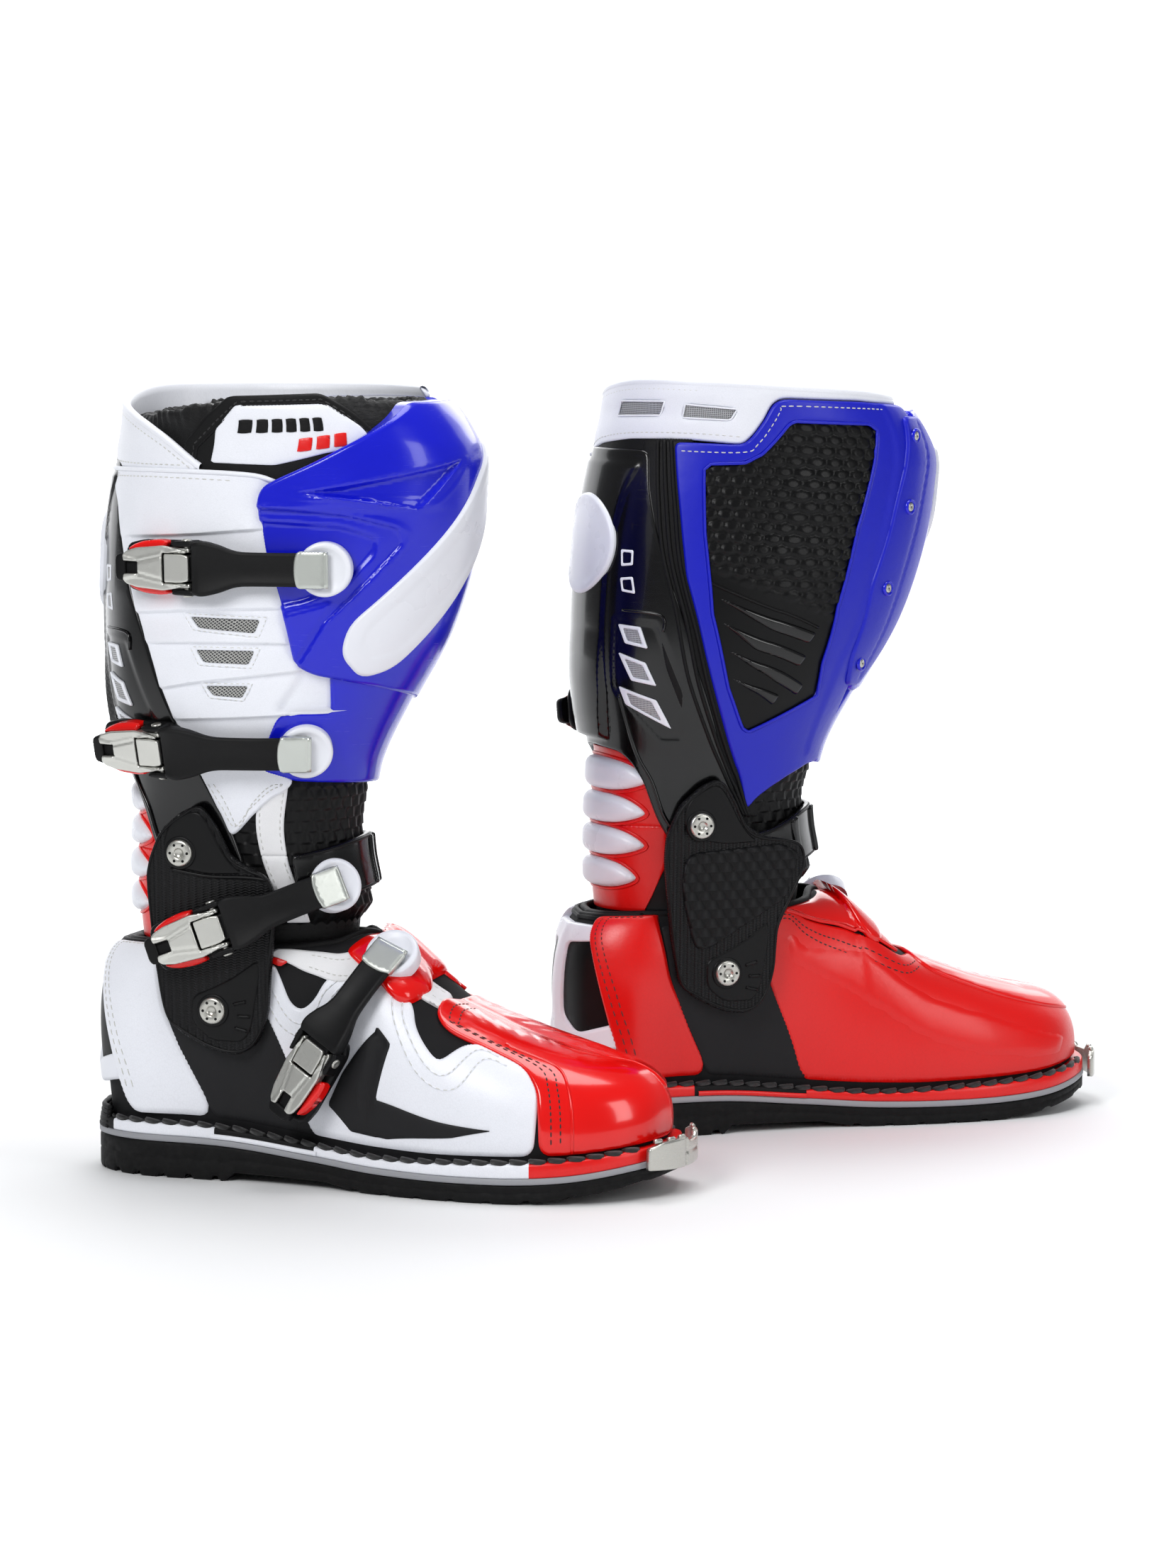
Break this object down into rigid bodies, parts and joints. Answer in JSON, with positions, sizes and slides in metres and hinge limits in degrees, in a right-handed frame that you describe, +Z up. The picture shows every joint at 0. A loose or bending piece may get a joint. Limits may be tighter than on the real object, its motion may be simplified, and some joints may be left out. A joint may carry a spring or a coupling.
{
  "type": "riding boots",
  "caption": "Pair of tall motocross boots with hinged ankle plates, moulded shin and calf shells, buckled straps and lugged soles.",
  "frame": {"origin": "middle of the pair's footprint, on the floor", "axes": "+X towards the toes, as a viewer of the outer side of the right boot sees them to the right; +Y towards the left boot, which stands behind; +Z up"},
  "size_m": [0.5358, 0.3496, 0.403],
  "materials": {
    "rubber": "moulded outsole rubber with lugs",
    "welt": "moulded midsole and welt, stitched through",
    "white_leather": "coated white leather, stitched and perforated",
    "white_plastic": "gloss injection moulding",
    "black_plastic": "moulded, satin, partly ribbed",
    "blue_plastic": "gloss injection moulding",
    "red_plastic": "gloss injection moulding",
    "steel": "pressed sheet, satin",
    "padding": "woven mesh over foam, with a synthetic leather collar",
    "black_leather": "soft synthetic leather in folds"
  },
  "bodies": {
    "right_foot": {"right_outsole": "rubber", "right_midsole": "welt", "right_toe_guard": "steel", "right_foot_upper": "white_leather", "right_heel_cup": "white_plastic", "right_instep_guard": "red_plastic", "right_lateral_lower_bolt": "steel", "right_medial_lower_bolt": "steel", "right_foot_buckle_base": "black_plastic"},
    "right_ankle_brace": {"right_lateral_ankle_plate": "black_plastic", "right_medial_ankle_plate": "black_plastic", "right_lateral_upper_bolt": "steel", "right_medial_upper_bolt": "steel", "right_ankle_gaiter": "black_leather", "right_ankle_buckle_base": "black_plastic"},
    "right_shaft": {"right_shaft_shell": "black_plastic", "right_shin_plate": "blue_plastic", "right_lateral_panel": "white_leather", "right_medial_panel": "blue_plastic", "right_liner": "padding", "right_top_buckle_base": "black_plastic", "right_calf_buckle_base": "black_plastic"},
    "right_top_lever": {"right_top_buckle_lever": "steel"},
    "right_top_strap": {"right_top_buckle_strap": "black_plastic"},
    "right_calf_lever": {"right_calf_buckle_lever": "steel"},
    "right_calf_strap": {"right_calf_buckle_strap": "black_plastic"},
    "right_ankle_lever": {"right_ankle_buckle_lever": "steel"},
    "right_ankle_strap": {"right_ankle_buckle_strap": "black_plastic"},
    "right_foot_lever": {"right_foot_buckle_lever": "steel"},
    "right_foot_strap": {"right_foot_buckle_strap": "black_plastic"},
    "left_foot": {"left_outsole": "rubber", "left_midsole": "welt", "left_toe_guard": "steel", "left_foot_upper": "white_leather", "left_heel_cup": "white_plastic", "left_instep_guard": "red_plastic", "left_lateral_lower_bolt": "steel", "left_medial_lower_bolt": "steel", "left_foot_buckle_base": "black_plastic"},
    "left_ankle_brace": {"left_lateral_ankle_plate": "black_plastic", "left_medial_ankle_plate": "black_plastic", "left_lateral_upper_bolt": "steel", "left_medial_upper_bolt": "steel", "left_ankle_gaiter": "black_leather", "left_ankle_buckle_base": "black_plastic"},
    "left_shaft": {"left_shaft_shell": "black_plastic", "left_shin_plate": "blue_plastic", "left_lateral_panel": "white_leather", "left_medial_panel": "blue_plastic", "left_liner": "padding", "left_top_buckle_base": "black_plastic", "left_calf_buckle_base": "black_plastic"},
    "left_top_lever": {"left_top_buckle_lever": "steel"},
    "left_top_strap": {"left_top_buckle_strap": "black_plastic"},
    "left_calf_lever": {"left_calf_buckle_lever": "steel"},
    "left_calf_strap": {"left_calf_buckle_strap": "black_plastic"},
    "left_ankle_lever": {"left_ankle_buckle_lever": "steel"},
    "left_ankle_strap": {"left_ankle_buckle_strap": "black_plastic"},
    "left_foot_lever": {"left_foot_buckle_lever": "steel"},
    "left_foot_strap": {"left_foot_buckle_strap": "black_plastic"}
  },
  "joints": [
    {"name": "left_boot_lift", "type": "slide", "parent": "right_foot", "child": "left_foot", "axis": [0, 0, 1], "range_m": [0, 0.45]},
    {"name": "right_ankle_lower", "type": "hinge", "parent": "right_foot", "child": "right_ankle_brace", "pos_m": [-0.1896, -0.06912, 0.089], "axis": [0.2907, 0.9568, 0], "range_deg": [-4, 4], "stiffness_Nm_per_rad": 45},
    {"name": "right_ankle_upper", "type": "hinge", "parent": "right_ankle_brace", "child": "right_shaft", "pos_m": [-0.20491, -0.06447, 0.169], "axis": [0.2907, 0.9568, 0], "range_deg": [-5, 8], "stiffness_Nm_per_rad": 30},
    {"name": "right_top_lever_hinge", "type": "hinge", "parent": "right_shaft", "child": "right_top_lever", "pos_m": [-0.21306, -0.13742, 0.314], "axis": [-0.0113, -0.0244, 0.9996], "range_deg": [0, 88]},
    {"name": "right_top_strap_hinge", "type": "hinge", "parent": "right_top_lever", "child": "right_top_strap", "pos_m": [-0.2185, -0.1349, 0.314], "axis": [-0.0113, -0.0244, 0.9996], "range_deg": [-110, 0]},
    {"name": "right_calf_lever_hinge", "type": "hinge", "parent": "right_shaft", "child": "right_calf_lever", "pos_m": [-0.22934, -0.11864, 0.221], "axis": [-0.1129, -0.1817, 0.9768], "range_deg": [0, 88]},
    {"name": "right_calf_strap_hinge", "type": "hinge", "parent": "right_calf_lever", "child": "right_calf_strap", "pos_m": [-0.23444, -0.11547, 0.221], "axis": [-0.1129, -0.1817, 0.9768], "range_deg": [-110, 0]},
    {"name": "right_ankle_lever_hinge", "type": "hinge", "parent": "right_ankle_brace", "child": "right_ankle_lever", "pos_m": [-0.19956, -0.12827, 0.13256], "axis": [-0.3286, 0.0946, 0.9397], "range_deg": [0, 88]},
    {"name": "right_ankle_strap_hinge", "type": "hinge", "parent": "right_ankle_lever", "child": "right_ankle_strap", "pos_m": [-0.20509, -0.12713, 0.13051], "axis": [-0.3286, 0.0946, 0.9397], "range_deg": [-110, 0]},
    {"name": "right_foot_lever_hinge", "type": "hinge", "parent": "right_foot", "child": "right_foot_lever", "pos_m": [-0.15008, -0.14057, 0.07296], "axis": [-0.702, 0.5539, 0.4476], "range_deg": [0, 88]},
    {"name": "right_foot_strap_hinge", "type": "hinge", "parent": "right_foot_lever", "child": "right_foot_strap", "pos_m": [-0.15303, -0.1401, 0.06776], "axis": [-0.702, 0.5539, 0.4476], "range_deg": [-110, 0]},
    {"name": "left_ankle_lower", "type": "hinge", "parent": "left_foot", "child": "left_ankle_brace", "pos_m": [0.0423, 0.05905, 0.089], "axis": [-0.3518, 0.9361, 0], "range_deg": [-4, 4], "stiffness_Nm_per_rad": 45},
    {"name": "left_ankle_upper", "type": "hinge", "parent": "left_ankle_brace", "child": "left_shaft", "pos_m": [0.02733, 0.05342, 0.169], "axis": [-0.3518, 0.9361, 0], "range_deg": [-8.4, 4.6], "stiffness_Nm_per_rad": 30},
    {"name": "left_top_lever_hinge", "type": "hinge", "parent": "left_shaft", "child": "left_top_lever", "pos_m": [0.02252, 0.1287, 0.31295], "axis": [-0.0427, -0.0445, -0.9981], "range_deg": [0, 88]},
    {"name": "left_top_strap_hinge", "type": "hinge", "parent": "left_top_lever", "child": "left_top_strap", "pos_m": [0.01726, 0.12585, 0.3133], "axis": [-0.0427, -0.0445, -0.9981], "range_deg": [-110, 0]},
    {"name": "left_calf_lever_hinge", "type": "hinge", "parent": "left_shaft", "child": "left_calf_lever", "pos_m": [0.00235, 0.10698, 0.22136], "axis": [0.07, -0.1945, -0.9784], "range_deg": [0, 88]},
    {"name": "left_calf_strap_hinge", "type": "hinge", "parent": "left_calf_lever", "child": "left_calf_strap", "pos_m": [-0.00252, 0.1035, 0.22171], "axis": [0.07, -0.1945, -0.9784], "range_deg": [-110, 0]},
    {"name": "left_ankle_lever_hinge", "type": "hinge", "parent": "left_ankle_brace", "child": "left_ankle_lever", "pos_m": [0.02855, 0.11742, 0.13256], "axis": [0.3218, 0.1156, -0.9397], "range_deg": [0, 88]},
    {"name": "left_ankle_strap_hinge", "type": "hinge", "parent": "left_ankle_lever", "child": "left_ankle_strap", "pos_m": [0.02311, 0.11594, 0.13051], "axis": [0.3218, 0.1156, -0.9397], "range_deg": [-110, 0]},
    {"name": "left_foot_lever_hinge", "type": "hinge", "parent": "left_foot", "child": "left_foot_lever", "pos_m": [0.07713, 0.1329, 0.07296], "axis": [0.6648, 0.598, -0.4476], "range_deg": [0, 88]},
    {"name": "left_foot_strap_hinge", "type": "hinge", "parent": "left_foot_lever", "child": "left_foot_strap", "pos_m": [0.07422, 0.13224, 0.06776], "axis": [0.6648, 0.598, -0.4476], "range_deg": [-110, 0]}
  ],
  "couplings": [
    {"joint": "right_top_strap_hinge", "follows": "right_top_lever_hinge", "ratio": -1.25},
    {"joint": "right_calf_strap_hinge", "follows": "right_calf_lever_hinge", "ratio": -1.25},
    {"joint": "right_ankle_strap_hinge", "follows": "right_ankle_lever_hinge", "ratio": -1.25},
    {"joint": "right_foot_strap_hinge", "follows": "right_foot_lever_hinge", "ratio": -1.25},
    {"joint": "left_top_strap_hinge", "follows": "left_top_lever_hinge", "ratio": -1.25},
    {"joint": "left_calf_strap_hinge", "follows": "left_calf_lever_hinge", "ratio": -1.25},
    {"joint": "left_ankle_strap_hinge", "follows": "left_ankle_lever_hinge", "ratio": -1.25},
    {"joint": "left_foot_strap_hinge", "follows": "left_foot_lever_hinge", "ratio": -1.25}
  ]
}
